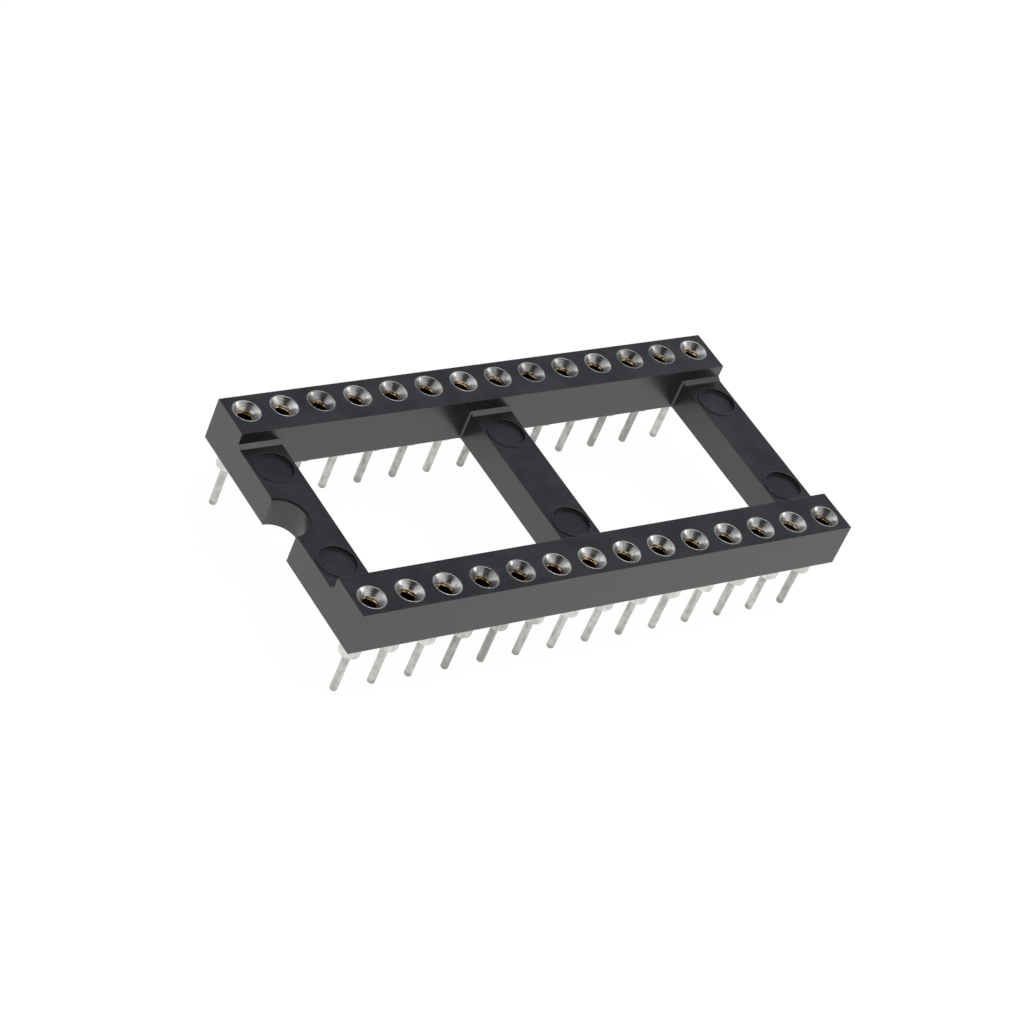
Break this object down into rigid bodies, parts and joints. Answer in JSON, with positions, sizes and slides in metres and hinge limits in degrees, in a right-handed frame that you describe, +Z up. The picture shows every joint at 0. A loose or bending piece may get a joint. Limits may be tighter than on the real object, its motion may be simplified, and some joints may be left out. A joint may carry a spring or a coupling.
{
  "type": "ic socket",
  "caption": "Open-frame dual-in-line IC socket: black ladder insulator, two rows of turned contacts with spring clips, and round solder tails.",
  "frame": {"origin": "centre of the contact grid, on the plane of the 28 tail tips, which the socket stands on", "axes": "+X along the rows, with the index notch in the -X end; +Z up, out of the contacts' mouths; the row of contacts 1 to 14 is on the -Y side"},
  "size_m": [0.0356, 0.0176, 0.0074],
  "materials": {
    "insulator_plastic": "satin",
    "tin_plate": "satin",
    "gold_plate": "polished"
  },
  "bodies": {
    "root": {"insulator": "insulator_plastic", "sleeve_01": "tin_plate", "sleeve_02": "tin_plate", "sleeve_03": "tin_plate", "sleeve_04": "tin_plate", "sleeve_05": "tin_plate", "sleeve_06": "tin_plate", "sleeve_07": "tin_plate", "sleeve_08": "tin_plate", "sleeve_09": "tin_plate", "sleeve_10": "tin_plate", "sleeve_11": "tin_plate", "sleeve_12": "tin_plate", "sleeve_13": "tin_plate", "sleeve_14": "tin_plate", "sleeve_15": "tin_plate", "sleeve_16": "tin_plate", "sleeve_17": "tin_plate", "sleeve_18": "tin_plate", "sleeve_19": "tin_plate", "sleeve_20": "tin_plate", "sleeve_21": "tin_plate", "sleeve_22": "tin_plate", "sleeve_23": "tin_plate", "sleeve_24": "tin_plate", "sleeve_25": "tin_plate", "sleeve_26": "tin_plate", "sleeve_27": "tin_plate", "sleeve_28": "tin_plate", "clip_01": "gold_plate", "clip_02": "gold_plate", "clip_03": "gold_plate", "clip_04": "gold_plate", "clip_05": "gold_plate", "clip_06": "gold_plate", "clip_07": "gold_plate", "clip_08": "gold_plate", "clip_09": "gold_plate", "clip_10": "gold_plate", "clip_11": "gold_plate", "clip_12": "gold_plate", "clip_13": "gold_plate", "clip_14": "gold_plate", "clip_15": "gold_plate", "clip_16": "gold_plate", "clip_17": "gold_plate", "clip_18": "gold_plate", "clip_19": "gold_plate", "clip_20": "gold_plate", "clip_21": "gold_plate", "clip_22": "gold_plate", "clip_23": "gold_plate", "clip_24": "gold_plate", "clip_25": "gold_plate", "clip_26": "gold_plate", "clip_27": "gold_plate", "clip_28": "gold_plate"}
  },
  "joints": []
}
